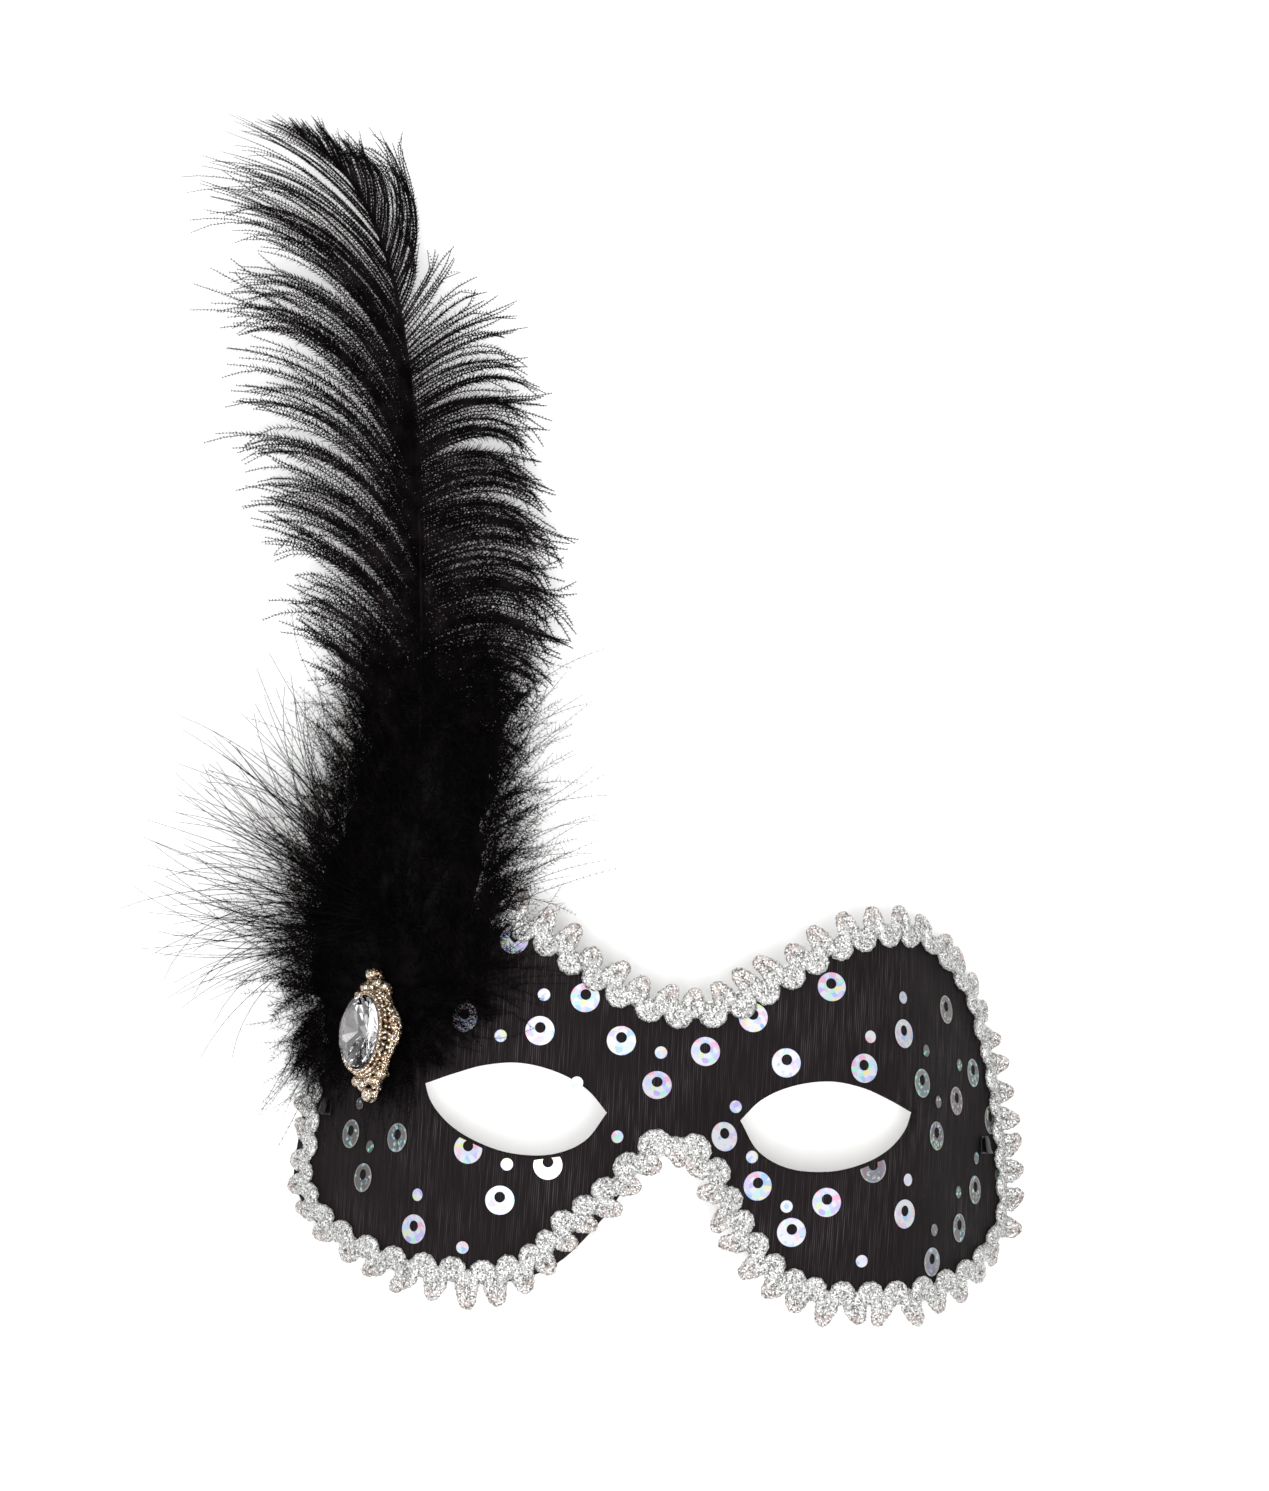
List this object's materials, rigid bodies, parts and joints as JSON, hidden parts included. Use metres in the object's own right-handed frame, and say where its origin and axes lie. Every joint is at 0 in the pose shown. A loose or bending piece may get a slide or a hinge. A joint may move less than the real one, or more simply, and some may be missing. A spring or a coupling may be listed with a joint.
{
  "type": "venetian half mask with a plume",
  "caption": "Moulded half mask with eye holes, dark fabric front, scalloped silver braid, sequins, a brooch and a black plume on one temple.",
  "frame": {"origin": "middle of the underside of the whole piece's box, on the surface it lies on", "axes": "+Z out of the front of the face, +Y up the face towards the plume's tip, +X across the face away from the plume"},
  "size_m": [0.216, 0.2862, 0.0654],
  "materials": {
    "shell": "matte",
    "cover_fabric": "satin",
    "silver_braid": "gloss",
    "sequin_foil": "polished",
    "gold_setting": "polished",
    "clear_stone": "polished",
    "tie_ribbon": "satin",
    "feather": "satin"
  },
  "bodies": {
    "root": {"mask_shell": "shell", "fabric_cover": "cover_fabric", "braid_trim": "silver_braid", "sequin_01": "sequin_foil", "sequin_02": "sequin_foil", "sequin_03": "sequin_foil", "sequin_04": "sequin_foil", "sequin_05": "sequin_foil", "sequin_06": "sequin_foil", "sequin_07": "sequin_foil", "sequin_08": "sequin_foil", "sequin_09": "sequin_foil", "sequin_10": "sequin_foil", "sequin_11": "sequin_foil", "sequin_12": "sequin_foil", "sequin_13": "sequin_foil", "sequin_14": "sequin_foil", "sequin_15": "sequin_foil", "sequin_16": "sequin_foil", "sequin_17": "sequin_foil", "sequin_18": "sequin_foil", "sequin_19": "sequin_foil", "sequin_20": "sequin_foil", "sequin_21": "sequin_foil", "sequin_22": "sequin_foil", "sequin_23": "sequin_foil", "sequin_24": "sequin_foil", "sequin_25": "sequin_foil", "brooch_setting": "gold_setting", "brooch_stone": "clear_stone", "ribbon_tab_right": "tie_ribbon", "ribbon_tab_left": "tie_ribbon", "ostrich_plume": "feather", "down_plume": "feather"}
  },
  "joints": []
}
